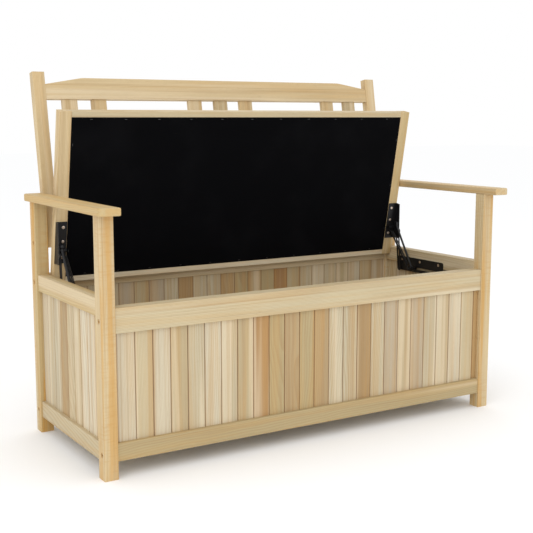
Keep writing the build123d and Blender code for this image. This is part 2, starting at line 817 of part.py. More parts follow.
# Plates on the box: a slot that follows the arm's running pin, and the guide pin of the check link
for side, sign in sides:
    with BuildPart() as box_bracket:
        with BuildSketch(Plane.YZ.offset(min(sign * plate_layer[0], sign * plate_layer[1]))):
            with Locations(plate_middle):
                RectangleRounded(plate_y[1] - plate_y[0], plate_z[1] - plate_z[0], box_plate_corner)
            for (y0, z0), (y1, z1) in zip(slot_path, slot_path[1:]):
                with Locations(Location(((y0 + y1) / 2, (z0 + z1) / 2, 0))):
                    SlotCenterToCenter(
                        math.hypot(y1 - y0, z1 - z0),
                        slot_width,
                        rotation=math.degrees(math.atan2(z1 - z0, y1 - y0)),
                        mode=Mode.SUBTRACT,
                    )
            with Locations(guide_place):
                Circle(guide_radius, mode=Mode.SUBTRACT)
        extrude(amount=plate_thick)
        for y, z in box_screw_places:
            mouth = Plane(origin=(sign * plate_layer[0], y, z), x_dir=(0, 1, 0), z_dir=(-sign, 0, 0))
            with Locations(mouth):
                CounterSinkHole(screw_radius + pin_slack, screw_head, depth=plate_thick)
    save(box_bracket, f"box_bracket_{side}")

with BuildPart() as guide_pins:
    for side, sign in sides:
        rod(span(sign * link_layer[0], sign * plate_layer[1]), *guide_place, guide_radius)
        rod(span(sign * (link_layer[0] - pin_head_height), sign * link_layer[0]), *guide_place, pin_head)
save(guide_pins, "guide_pins")

with BuildPart() as box_bracket_screws:
    for side, sign in sides:
        for y, z in box_screw_places:
            mouth = Plane(origin=(sign * plate_layer[0], y, z), x_dir=(0, 1, 0), z_dir=(sign, 0, 0))
            with BuildSketch(mouth):
                Circle(screw_head - pin_slack)
            with BuildSketch(mouth.offset(screw_head - screw_radius)):
                Circle(screw_radius)
            loft()
            rod(span(sign * plate_layer[0], sign * (plate_layer[0] + screw_length)), y, z, screw_radius)
save(box_bracket_screws, "box_bracket_screws")

# Check links: a slotted bar from the lid bracket to the guide pin
link_reach = math.hypot(guide_place[0] - link_open[0], guide_place[1] - link_open[1])
link_closed = math.hypot(guide_place[0] - link_shut[0], guide_place[1] - link_shut[1])
for side, sign in sides:
    link_plane = Plane(
        origin=(min(sign * link_layer[0], sign * link_layer[1]), *link_open),
        x_dir=(0, guide_place[0] - link_open[0], guide_place[1] - link_open[1]),
        z_dir=(1, 0, 0),
    )
    with BuildPart() as check_link:
        with BuildSketch(link_plane):
            with Locations((link_reach / 2, 0)):
                SlotCenterToCenter(link_reach, link_width)
            with Locations(((link_reach + link_closed) / 2, 0)):
                travel = link_reach - link_closed
                SlotCenterToCenter(travel, 2 * (guide_radius + slot_slack), mode=Mode.SUBTRACT)
            Circle(guide_radius + pin_slack, mode=Mode.SUBTRACT)
        extrude(amount=link_thick)
    save(check_link, f"check_link_{side}")

# Stay arms: a round bar with an eye on the lid bracket's pin and a running pin at its lower end
arm_open = lid_point(arm_pivot)
runner_open = runner_place(0)
runner_out = plate_layer[1] + runner_head_gap
for side, sign in sides:
    with BuildPart() as stay_arm:
        eye_x = span(sign * arm_face, sign * (arm_face + arm_eye_thick))
        for place in (arm_open, runner_open):
            rod(eye_x, *place, arm_eye)
        bar = Plane(
            origin=(sign * arm_centre, *arm_open),
            x_dir=(1, 0, 0),
            z_dir=(0, runner_open[0] - arm_open[0], runner_open[1] - arm_open[1]),
        )
        with BuildSketch(bar):
            Circle(arm_radius)
        extrude(amount=arm_length)
        rod(eye_x, *arm_open, arm_radius + pin_slack, Mode.SUBTRACT)
        rod(span(sign * (spring_centre - runner_reach), sign * runner_out), *runner_open, arm_radius)
        rod(span(sign * runner_out, sign * (runner_out + runner_head_height)), *runner_open, pin_head)
    save(stay_arm, f"stay_arm_{side}")


# Stay springs: close turns between two hooks
def coil_stations(length):
    """Points and directions every half turn along a coil that lies on Z, between the two hooks."""
    rise = (length - 2 * spring_lead) / spring_turns
    slope = rise / (2 * math.pi * spring_radius)
    stations = []
    for number in range(2 * spring_turns + 1):
        way = 1 if number % 2 == 0 else -1
        point = Vector(0, spring_radius * way, spring_lead + rise * number / 2)
        stations.append((point, Vector(-way, 0, slope).normalized()))
    return stations


def hook_stations(length):
    """Points and directions from the last turn at the far end, round the pin there, to the wire's tip."""
    neck = Vector(0, 0, length - 2 * hook_radius)
    side = Vector(0, hook_radius, length)
    over = Vector(0, 0, length + hook_radius)
    far = Vector(0, -hook_radius, length)
    return [
        (neck, Vector(0, 0, 1)),
        (side, Vector(0, 0, 1)),
        (over, Vector(0, -1, 0)),
        (far, Vector(0, 0, -1)),
    ]


def flipped(stations, length):
    """Carry stations of the far end to the near end, by a half turn about X and in reverse order."""
    return [
        (Vector(p.X, -p.Y, length - p.Z), Vector(-t.X, t.Y, t.Z))
        for p, t in reversed(stations)
    ]


def biarc(start, stop):
    """Add two tangent arcs between two stations."""
    (p0, t0), (p1, t1) = start, stop
    chord = p1 - p0
    both = t0 + t1
    square = 2 * (1 - t0.dot(t1))
    linear = 2 * chord.dot(both)
    constant = -chord.dot(chord)
    if square < 1e-9:
        reach = -constant / linear
    else:
        reach = (-linear + math.sqrt(linear ** 2 - 4 * square * constant)) / (2 * square)
    q0 = p0 + t0 * reach
    q1 = p1 - t1 * reach
    middle = (q0 + q1) * 0.5
    TangentArc(p0, middle, tangent=t0)
    TangentArc(middle, p1, tangent=q1 - q0)


def spring_route(length):
    """All stations of a spring, tip to tip."""
    hook = hook_stations(length)
    return flipped(hook, length) + coil_stations(length) + hook


def least_gap(points, wire):
    """Least gap between stretches of a wire that lie more than three diameters apart along it."""
    least = math.inf
    run = [0.0]
    for a, b in zip(points, points[1:]):
        run.append(run[-1] + (b - a).length)
    for i, a in enumerate(points):
        for j in range(i + 1, len(points)):
            if run[j] - run[i] > 6 * wire:
                least = min(least, (points[j] - a).length - 2 * wire)
    return least


spring_open = lid_point(spring_post)
spring_length = math.hypot(spring_open[0] - runner_open[0], spring_open[1] - runner_open[1])
for side, sign in sides:
    spring_plane = Plane(
        origin=(sign * spring_centre, *runner_open),
        x_dir=(1, 0, 0),
        z_dir=(0, spring_open[0] - runner_open[0], spring_open[1] - runner_open[1]),
    )
    to_world = Plane(origin=(0, 0, 0), x_dir=spring_plane.x_dir, z_dir=spring_plane.z_dir)
    route = [
        (spring_plane.from_local_coords(point), to_world.from_local_coords(direction))
        for point, direction in spring_route(spring_length)
    ]
    with BuildPart() as stay_spring:
        with BuildLine() as path:
            tip, way = route[0]
            start = tip - way * hook_tail
            Line(start, tip)
            for here, there in zip(route, route[1:]):
                biarc(here, there)
            tip, way_out = route[-1]
            Line(tip, tip + way_out * hook_tail)
        with BuildSketch(Plane(origin=start, z_dir=way)):
            Circle(spring_wire)
        sweep(path=path.wires()[0])
    save(stay_spring, f"stay_spring_{side}")
    samples = [edge.position_at(part) for edge in path.wires()[0].order_edges() for part in (0, 0.34, 0.67)]
    print(f"stay_spring_{side}: least gap to itself {least_gap(samples, spring_wire):.2f} mm")
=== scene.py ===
import bpy
import json
import math
import random
from mathutils import Matrix, Vector


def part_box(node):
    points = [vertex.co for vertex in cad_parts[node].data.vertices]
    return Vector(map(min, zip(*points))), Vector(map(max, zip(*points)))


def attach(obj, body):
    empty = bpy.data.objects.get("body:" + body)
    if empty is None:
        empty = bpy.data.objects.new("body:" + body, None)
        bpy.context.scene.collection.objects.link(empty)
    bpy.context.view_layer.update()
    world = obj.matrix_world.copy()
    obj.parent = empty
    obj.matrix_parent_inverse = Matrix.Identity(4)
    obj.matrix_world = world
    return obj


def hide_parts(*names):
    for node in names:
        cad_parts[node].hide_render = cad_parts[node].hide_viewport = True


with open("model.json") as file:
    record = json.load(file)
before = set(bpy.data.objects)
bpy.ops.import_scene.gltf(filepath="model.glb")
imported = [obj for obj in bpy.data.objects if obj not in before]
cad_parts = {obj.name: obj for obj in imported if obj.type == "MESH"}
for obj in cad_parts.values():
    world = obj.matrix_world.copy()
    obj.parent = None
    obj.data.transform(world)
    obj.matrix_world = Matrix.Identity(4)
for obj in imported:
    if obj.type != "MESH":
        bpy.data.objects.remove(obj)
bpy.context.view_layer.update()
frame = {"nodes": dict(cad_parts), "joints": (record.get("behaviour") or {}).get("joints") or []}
nodes = frame["nodes"]
joints = {joint["name"]: joint for joint in frame["joints"]}


# Legs. Square posts of planed softwood, honey-coloured under a clear oil, with the grain standing upright.
# Each is cut from its own plank, so streaks, knots and tone differ from leg to leg.
class Socket:
    """A shader value that takes part in Python sums."""

    def __init__(self, finish, out):
        self.finish = finish
        self.out = out

    def maths(self, operation, first, second):
        return self.finish.node("ShaderNodeMath", {"operation": operation}, {0: first, 1: second})

    def __add__(self, other):
        return self.maths("ADD", self, other)

    def __radd__(self, other):
        return self.maths("ADD", other, self)

    def __sub__(self, other):
        return self.maths("SUBTRACT", self, other)

    def __rsub__(self, other):
        return self.maths("SUBTRACT", other, self)

    def __mul__(self, other):
        return self.maths("MULTIPLY", self, other)

    def __rmul__(self, other):
        return self.maths("MULTIPLY", other, self)

    def __truediv__(self, other):
        return self.maths("DIVIDE", self, other)

    def __pow__(self, other):
        return self.maths("POWER", self, other)


class Finish:
    """A material and the nodes of its surface."""

    def __init__(self, name):
        self.material = bpy.data.materials.new(name)
        self.material.use_nodes = True
        self.tree = self.material.node_tree
        self.surface = self.tree.nodes["Principled BSDF"]

    def feed(self, socket, value):
        if isinstance(value, Socket):
            self.tree.links.new(value.out, socket)
        else:
            socket.default_value = value

    def node(self, kind, settings=None, sockets=None, out=0):
        made = self.tree.nodes.new(kind)
        for key, value in (settings or {}).items():
            if key == "stops":
                ramp = made.color_ramp
                while len(ramp.elements) > 1:
                    ramp.elements.remove(ramp.elements[-1])
                for number, (place, colour) in enumerate(value):
                    stop = ramp.elements.new(place) if number else ramp.elements[0]
                    stop.position = place
                    stop.color = colour
            elif key == "interpolation":
                made.color_ramp.interpolation = value
            else:
                setattr(made, key, value)
        for key, value in (sockets or {}).items():
            self.feed(made.inputs[key], value)
        if isinstance(out, tuple):
            return [Socket(self, made.outputs[key]) for key in out]
        return Socket(self, made.outputs[out])

    def wear(self, sockets):
        for key, value in sockets.items():
            self.feed(self.surface.inputs[key], value)

    def blend(self, share, first, second, mode="MIX"):
        settings = {"data_type": "RGBA", "blend_type": mode, "clamp_factor": True}
        return self.node("ShaderNodeMix", settings, {0: share, 6: first, 7: second}, out=2)

    def ease(self, value, low, high):
        settings = {"interpolation_type": "SMOOTHSTEP"}
        return self.node("ShaderNodeMapRange", settings, {0: value, 1: low, 2: high, 3: 0.0, 4: 1.0})

    def cloud(self, x, y, z, scale=1.0, detail=2.0, rough=0.5):
        spot = self.node("ShaderNodeCombineXYZ", None, {0: x, 1: y, 2: z})
        sockets = {"Vector": spot, "Scale": scale, "Detail": detail, "Roughness": rough}
        return self.node("ShaderNodeTexNoise", None, sockets)

    def split(self, value):
        return self.node("ShaderNodeSeparateXYZ", None, {0: value}, out=(0, 1, 2))


def tint(red, green, blue):
    """A colour from its everyday values of 0 to 255."""
    linear = []
    for value in (red, green, blue):
        share = value / 255
        linear.append(share / 12.92 if share <= 0.04045 else ((share + 0.055) / 1.055) ** 2.4)
    return (*linear, 1.0)


tones = {
    "cream": tint(215, 205, 180),
    "pale": tint(206, 196, 171),
    "oat": tint(194, 183, 155),
    "beige": tint(198, 184, 151),
    "straw": tint(201, 188, 155),
    "honey": tint(210, 190, 150),
    "deep": tint(199, 178, 132),
    "tan": tint(186, 171, 137),
    "mushroom": tint(186, 173, 149),
    "olive": tint(178, 161, 122),
    "rose": tint(176, 153, 116),
    "brown": tint(169, 142, 103),
    "orange": tint(167, 130, 88),
}
stripe_tone = tint(170, 134, 88)
yellow_tone = tint(200, 154, 82)
figure_tone = tint(186, 136, 66)
sap_tone = tint(224, 208, 178)
late_tone = tint(158, 120, 74)
knot_tone = tint(104, 62, 32)
# Painted shade for the V-grooves between the wall boards.
groove_shade_tone = tint(134, 80, 28)
ring_gap = 0.0031


def timber(name, along, tone, seed, origin=(0, 0, 0), tilt=(0, 0, 0), cells=None, joint=0.0,
           warmth=0.4, gold=0.22, curl=0.0):
    """Planed softwood, grain along an axis. Cells, if any, divide it into boards of named tones; joint
    paints shade at their joints.
    """
    wood = Finish(name)
    dice = random.Random(seed)
    place = wood.node("ShaderNodeTexCoord", out="Object")
    sockets = {"Vector": place, "Location": origin, "Rotation": tilt}
    x, y, z = wood.split(wood.node("ShaderNodeMapping", {"vector_type": "TEXTURE"}, sockets))
    a, b, c = {"X": (x, y, z), "Y": (y, x, z), "Z": (z, x, y)}[along]
    if cells:
        axis, start, pitch, names = cells
        row = ({"X": x, "Y": y, "Z": z}[axis] - start) / pitch
        number = wood.node("ShaderNodeMath", {"operation": "FLOOR"}, {0: row})
        stops = [(k / len(names), tones[word]) for k, word in enumerate(names)]
        ramp = {"stops": stops, "interpolation": "CONSTANT"}
        plank = wood.node("ShaderNodeValToRGB", ramp, {0: (number + 0.5) / len(names)})
        lot = {"W": number + seed}
        dots = wood.node("ShaderNodeTexWhiteNoise", {"noise_dimensions": "1D"}, lot, out="Color")
        one, two, three = wood.split(dots)
    else:
        plank = tones[tone]
        one, two, three = dice.random(), dice.random(), dice.random()
    shift = 40.0 * three + seed
    heart_b = (one - 0.5) * 0.16 + a * ((two - 0.5) * 0.10)
    heart_c = (two - 0.5) * 0.20 + a * ((one - 0.5) * 0.06)
    wander = wood.cloud(a * 2.2 + shift, b * 9.0 + shift, c * 9.0, detail=3.0)
    off_b = b - heart_b
    off_c = c - heart_c
    radius = (off_b * off_b + off_c * off_c) ** 0.5 + wander * 0.022
    ring = wood.node("ShaderNodeMath", {"operation": "FRACT"}, {0: radius / ring_gap})
    late = wood.ease(ring, 0.2, 0.85) * (1.0 - wood.ease(ring, 0.88, 1.0))
    stripe = wood.cloud(a * 0.45 + shift, b * 46.0, c * 46.0 + shift, detail=3.0, rough=0.55)
    yellow = wood.cloud(a * 2.2, b * 62.0 + shift, c * 62.0 + shift, detail=3.0)
    sap = wood.cloud(a * 0.6 + shift, b * 24.0, c * 24.0 - shift, detail=2.0)
    smear = wood.cloud(a * 5.0 + shift, b * 16.0, c * 16.0, detail=3.0)
    fibre = wood.cloud(a * 22.0 + shift, b * 1300.0, c * 1300.0, detail=3.0, rough=0.65)
    flecks = wood.ease(wood.cloud(a * 60.0, b * 950.0 + shift, c * 950.0, detail=1.0), 0.62, 0.74)
    lines = wood.ease(wood.cloud(a * 1.3 + shift, b * 240.0, c * 240.0, detail=2.0), 0.56, 0.72)
    cell = wood.node("ShaderNodeCombineXYZ", None, {0: a * 2.6 + shift, 1: b * 17.0 + shift, 2: c * 17.0})
    knots = wood.node("ShaderNodeTexVoronoi", None, {"Vector": cell, "Scale": 1.0})
    lots = wood.node("ShaderNodeTexVoronoi", None, {"Vector": cell, "Scale": 1.0}, out="Color")
    chance = wood.ease(wood.split(lots)[0], 0.90, 0.92)
    knot = (1.0 - wood.ease(knots, 0.02, 0.09)) * chance
    halo = (1.0 - wood.ease(knots, 0.06, 0.30)) * chance
    shade = wood.blend(late * 0.30, plank, late_tone)
    shade = wood.blend(wood.ease(stripe, 0.50, 0.72) * warmth, shade, stripe_tone)
    shade = wood.blend(wood.ease(yellow, 0.42, 0.62) * gold, shade, yellow_tone)
    shade = wood.blend(wood.ease(sap, 0.54, 0.66) * 0.5, shade, sap_tone)
    shade = wood.blend(flecks * 0.16, shade, late_tone)
    shade = wood.blend(lines * 0.30, shade, late_tone)
    shade = wood.blend(halo * 0.35, shade, stripe_tone)
    shade = wood.blend(knot * 0.75, shade, knot_tone)
    if curl:
        ripple = wood.cloud(a * 210.0 + shift, b * 26.0, c * 26.0, detail=2.0)
        patch = wood.ease(wood.cloud(a * 4.0, b * 9.0 + shift, c * 9.0), 0.42, 0.62)
        shade = wood.blend(wood.ease(ripple, 0.46, 0.66) * patch * curl, shade, figure_tone)
    # Painted shade: each board darkens towards its joints, where the groove between the boards lies in
    # shade.
    if joint:
        inside = wood.node("ShaderNodeMath", {"operation": "FRACT"}, {0: row})
        off = wood.node("ShaderNodeMath", {"operation": "ABSOLUTE"}, {0: inside - 0.5})
        groove_shade_share = wood.ease(off * pitch, 0.5 * pitch - 0.0024, 0.5 * pitch - 0.0005)
        shade = wood.blend(groove_shade_share * joint, shade, groove_shade_tone)
    grey = fibre * 0.20 + smear * 0.16 + 0.82
    level = wood.node("ShaderNodeCombineColor", None, {0: grey, 1: grey, 2: grey})
    shade = wood.blend(1.0, shade, level, "MULTIPLY")
    height = fibre * 0.6 - late * 0.3 - flecks * 0.5
    relief = wood.node("ShaderNodeBump", None, {"Strength": 0.2, "Distance": 0.0008, "Height": height})
    wood.wear({
        "Base Color": shade,
        "Roughness": 0.52 + fibre * 0.18 - late * 0.06,
        "Normal": relief,
        "Specular IOR Level": 0.3,
    })
    return wood.material


def dress(node, material):
    """Give a CAD node its finish."""
    mesh = nodes[node].data
    mesh.materials.clear()
    mesh.materials.append(material)


for seed, (leg, tone, gold) in enumerate((
    ("front_leg_left", "honey", 0.65),
    ("front_leg_right", "honey", 0.8),
    ("rear_leg_left", "deep", 1.0),
    ("rear_leg_right", "beige", 0.6),
)):
    dress(leg, timber(leg + "_timber", "Z", tone, 11 + seed, warmth=0.35, gold=gold, curl=0.22))


# Armrests. Flat planed boards of the same softwood on the leg tops, with their grain from front to back.
# Their corners are rounded and their edges eased, and the left one is the more golden of the two.
for seed, (side, tone) in enumerate((("left", "deep"), ("right", "honey"))):
    top_board = timber("armrest_timber_" + side, "Y", tone, 21 + seed, warmth=0.3, gold=0.35, curl=0.1)
    dress("armrest_" + side, top_board)


# Rails of the box. Planed softwood bars, bolted between the legs, that take the ends of the wall boards in
# grooves. The front top rail is the broad one; the front bottom rail's darker tone is painted shade.
for seed, (rail, along, tone) in enumerate((
    ("front_top_rail", "X", "straw"),
    # The front bottom rail's darker olive tone is painted shade, for the light that falls off lower down.
    ("front_bottom_rail", "X", "olive"),
    ("rear_top_rail", "X", "beige"),
    ("rear_bottom_rail", "X", "tan"),
    ("side_top_rail_left", "Y", "deep"),
    ("side_top_rail_right", "Y", "beige"),
    ("side_bottom_rail_left", "Y", "beige"),
    ("side_bottom_rail_right", "Y", "tan"),
)):
    dress(rail, timber(rail + "_timber", along, tone, 31 + seed, warmth=0.35))


# Walls. Narrow tongue-and-groove boards stand side by side in the rails' grooves, each of its own tone,
# with a bevelled joint between them, and a painted shade darkens their edges along each joint.
board_pitch = 0.04415
first_board = 0.0506
wall_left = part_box("front_boards")[0][0]
front_groove_shade = 0.42
front_warmth = 0.48
front_tones = (
    "pale beige pale tan oat pale oat tan orange olive rose olive rose "
    "oat oat brown oat mushroom tan mushroom oat oat pale beige brown"
).split()
row_start = wall_left + first_board - board_pitch
front_row = ("X", row_start, board_pitch, front_tones)
dress("front_boards", timber("front_board_timber", "Z", None, 51, cells=front_row,
                             joint=front_groove_shade, warmth=front_warmth))
rear_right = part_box("rear_boards")[1][0]
rear_tones = front_tones[::-1]
rear_start = rear_right - first_board - (len(rear_tones) - 1) * board_pitch
rear_row = ("X", rear_start, board_pitch, rear_tones)
dress("rear_boards", timber("rear_board_timber", "Z", None, 52, cells=rear_row,
                            joint=front_groove_shade, warmth=front_warmth))
side_first = 0.038
side_groove_shade = 0.4
side_warmth = 0.45
left_tones = "honey cream cream beige beige rose oat oat pale".split()
left_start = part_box("side_boards_left")[1][1] - side_first - (len(left_tones) - 1) * board_pitch
left_row = ("Y", left_start, board_pitch, left_tones)
dress("side_boards_left", timber("left_board_timber", "Z", None, 53, cells=left_row,
                                 joint=side_groove_shade, warmth=side_warmth))
right_tones = "beige tan pale rose oat beige tan pale beige".split()
right_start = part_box("side_boards_right")[0][1] + side_first - board_pitch
right_row = ("Y", right_start, board_pitch, right_tones)
dress("side_boards_right", timber("right_board_timber", "Z", None, 54, cells=right_row,
                                  joint=side_groove_shade, warmth=side_warmth))


# Floor of the box. Wider softwood boards, left plain, laid side by side from front to back.
# They rest on two cleats along the bottom rails.
floor_low, floor_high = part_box("floor_boards")
floor_tones = "beige pale tan cream beige olive pale tan cream beige tan pale".split()
floor_pitch = (floor_high[0] - floor_low[0]) / len(floor_tones)
dress("floor_boards", timber("floor_timber", "Y", None, 61,
                             cells=("X", floor_low[0], floor_pitch, floor_tones), warmth=0.4))
dress("floor_cleats", timber("cleat_timber", "X", "tan", 62))


# Back. Two planed posts, bolted to the rear legs, lean back from them. A shaped top rail and a plain lower
# rail run between the posts and hold seven thin slats by their ends.
lean = math.radians(9.96)
post_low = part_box("back_post_left")[0]
back_origin = (0, post_low[1], post_low[2])
back_tilt = (math.pi / 2 - lean, 0, 0)
for seed, (piece, along, tone) in enumerate((
    ("back_post_left", "Y", "honey"),
    ("back_post_right", "Y", "honey"),
    ("back_top_rail", "X", "honey"),
    ("back_bottom_rail", "X", "beige"),
)):
    dress(piece, timber(piece + "_timber", along, tone, 71 + seed, back_origin, back_tilt, warmth=0.5))
slat_low, slat_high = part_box("back_slats")
slat_tones = "honey honey beige honey rose honey beige honey tan honey beige honey tan".split()
slat_pitch = (slat_high[0] - slat_low[0]) / len(slat_tones)
dress("back_slats", timber("back_slat_timber", "Y", None, 81, back_origin, back_tilt,
                           cells=("X", slat_low[0], slat_pitch, slat_tones), warmth=0.5))


# Frame fixings. Bronzed socket-head bolts sunk in the legs draw the rails tight by their barrel nuts, and
# bolts with nuts hold the back posts. The posts' screws and the lid's pivot pins are zinc-plated steel.
def metal(name, colour, rough, spread, shine=1.0):
    """Plain metal with a fine mottle in its gloss."""
    skin = Finish(name)
    x, y, z = skin.split(skin.node("ShaderNodeTexCoord", out="Object"))
    mottle = skin.cloud(x * 900.0, y * 900.0, z * 900.0, detail=3.0)
    smear = skin.cloud(x * 60.0, y * 60.0, z * 60.0, detail=4.0)
    dull = tuple(0.72 * value for value in colour[:3]) + (1.0,)
    relief = skin.node("ShaderNodeBump", None, {"Strength": 0.12, "Distance": 0.0002, "Height": mottle})
    skin.wear({
        "Base Color": skin.blend(skin.ease(smear, 0.4, 0.7), colour, dull),
        "Metallic": shine,
        "Roughness": rough + (mottle - 0.5) * spread,
        "Normal": relief,
    })
    return skin.material


bronzed_bolt = metal("bronzed_bolt_metal", tint(206, 166, 108), 0.5, 0.2, shine=0.45)
bright_zinc = metal("zinc_metal", tint(230, 214, 198), 0.38, 0.2)
for node in ("frame_bolts", "barrel_nuts", "post_bolts", "post_nuts"):
    dress(node, bronzed_bolt)
for node in ("post_screws", "hinge_pins"):
    dress(node, bright_zinc)


# Lid. Thick softwood side rails with the seat's slats tongued between them. It stands open on its two pivot
# pins, so its grain is laid out in the lid's own tilted frame.
lid_turn = math.radians(joints["lid_hinge"]["range_deg"][1])
pivot = Vector(joints["lid_hinge"]["pos_m"])
lid_tilt = (-lid_turn, 0, 0)
for seed, (side, tone) in enumerate((("left", "honey"), ("right", "deep"))):
    node = "lid_side_rail_" + side
    dress(node, timber(node + "_timber", "Y", tone, 91 + seed, tuple(pivot), lid_tilt, warmth=0.5))
lid_front = -0.4254
lid_rear = 0.010
slat_gap = 0.003
seat_tones = "beige honey cream tan beige honey cream".split()
seat_pitch = (lid_rear - lid_front + slat_gap) / len(seat_tones)
dress("seat_slats", timber("seat_slat_timber", "X", None, 95, tuple(pivot), lid_tilt,
                           cells=("Y", lid_front, seat_pitch, seat_tones), warmth=0.45))


# Lid lining. Thin black woven cloth stretched over the underside of the lid and stapled round its border.
# It lies flat at the staples and bags a little between them, with soft wrinkles near the upper left corner.
lid_place = Matrix.Translation(pivot) @ Matrix.Rotation(-lid_turn, 4, "X")
cloth_half = 0.507
cloth_near = 0.005
cloth_far = 0.4108
cloth_level = -0.0112
cloth_thick = 0.0005
flat_border = 0.012
flat_reach = 0.370
calm_width = 0.045
bag_depth = 0.0018
drift_depth = 0.0006
fold_depth = 0.0011
cloth_width = 2 * cloth_half
cloth_length = cloth_far - cloth_near
cloth_middle = (0, -(cloth_near + cloth_far) / 2, cloth_level)
bpy.ops.object.select_all(action="DESELECT")
bpy.ops.mesh.primitive_grid_add(x_subdivisions=240, y_subdivisions=96, size=1, location=cloth_middle)
lining = bpy.context.object
lining.name = "lid_lining"
lining.scale = (cloth_width, cloth_length, 1)
bpy.ops.object.transform_apply(location=True, rotation=True, scale=True)
for point in lining.data.vertices:
    across = point.co.x / cloth_half
    reach = -point.co.y
    along = (reach - cloth_near) / cloth_length
    inside = min(cloth_half - abs(point.co.x), reach - cloth_near) - flat_border
    edge = min(inside, flat_reach - reach)
    calm = min(1.0, max(0.0, edge / calm_width))
    calm = calm * calm * (3 - 2 * calm)
    drift = math.sin(point.co.x * 9.0 + 1.3) * math.sin(point.co.y * 14.0 + 0.4)
    fold = math.sin((point.co.x * 0.75 + point.co.y * 0.66) * 105.0 + 1.5 * drift)
    corner = math.exp(-((across + 0.80) / 0.20) ** 2 - ((along - 0.78) / 0.22) ** 2)
    point.co.z -= calm * (bag_depth + drift_depth * drift + fold_depth * corner * fold)
lining.data.transform(lid_place)
bpy.ops.object.shade_smooth()
thick = lining.modifiers.new("cloth_thickness", "SOLIDIFY")
thick.thickness = cloth_thick
thick.offset = 0
bpy.ops.object.modifier_apply(modifier=thick.name)

weave = Finish("black_cloth")
spot = weave.node("ShaderNodeTexCoord", out="Object")
mapping = {"Vector": spot, "Location": tuple(pivot), "Rotation": lid_tilt}
x, y, z = weave.split(weave.node("ShaderNodeMapping", {"vector_type": "TEXTURE"}, mapping))
thread_pitch = 0.0011
thread = 2 * math.pi / thread_pitch
warp = weave.node("ShaderNodeMath", {"operation": "SINE"}, {0: x * thread})
weft = weave.node("ShaderNodeMath", {"operation": "SINE"}, {0: y * thread})
lattice = warp * weft
slub = weave.cloud(x * 20.0, y * 900.0, z, detail=2.0)
dust = weave.cloud(x * 7.0, y * 7.0, z * 7.0, detail=4.0)
black = weave.blend(weave.ease(dust, 0.45, 0.75) * 0.6, tint(9, 9, 11), tint(17, 17, 19))
black = weave.blend((lattice * 0.5 + 0.5) * 0.4, black, tint(5, 5, 6))
threads = {"Strength": 0.35, "Distance": 0.0003, "Height": lattice * 0.5 + slub * 0.5}
weave.wear({
    "Base Color": black,
    "Roughness": 0.82 + slub * 0.1,
    "Normal": weave.node("ShaderNodeBump", None, threads),
    "Specular IOR Level": 0.03,
})
lining.data.materials.append(weave.material)
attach(lining, "lid")
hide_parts("lid_cloth")


# Staples. Crowns of dull steel wire that hold the border of the cloth.
# Their legs are driven into the wood, so only the flat backs show.
dress("cloth_staples", metal("staple_wire", tint(104, 104, 104), 0.42, 0.15))


# Lid stays. Pressed steel with a black coat: an angle bracket under the lid, a plate on the box, a slotted
# check link and a round arm that runs in the plate's slot.
black_steel = metal("black_steel", tint(26, 26, 28), 0.42, 0.22, shine=0.35)
for side in ("left", "right"):
    for part in ("lid_bracket_", "box_bracket_", "check_link_", "stay_arm_", "stay_pins_"):
        dress(part + side, black_steel)
dress("guide_pins", black_steel)


# Stay screws. Zinc-plated cross-head wood screws: pan heads on the lid's brackets, countersunk heads flush
# in the box plates. Each stands at its own turn, as a hand left it.
screw_radius = 0.002
screw_length = 0.016
screw_head = 0.004
head_height = 0.002
head_round = 0.0013
tip_length = 0.003
cross_half = 0.0027
cross_deep = 0.0014
plate_thick = 0.002


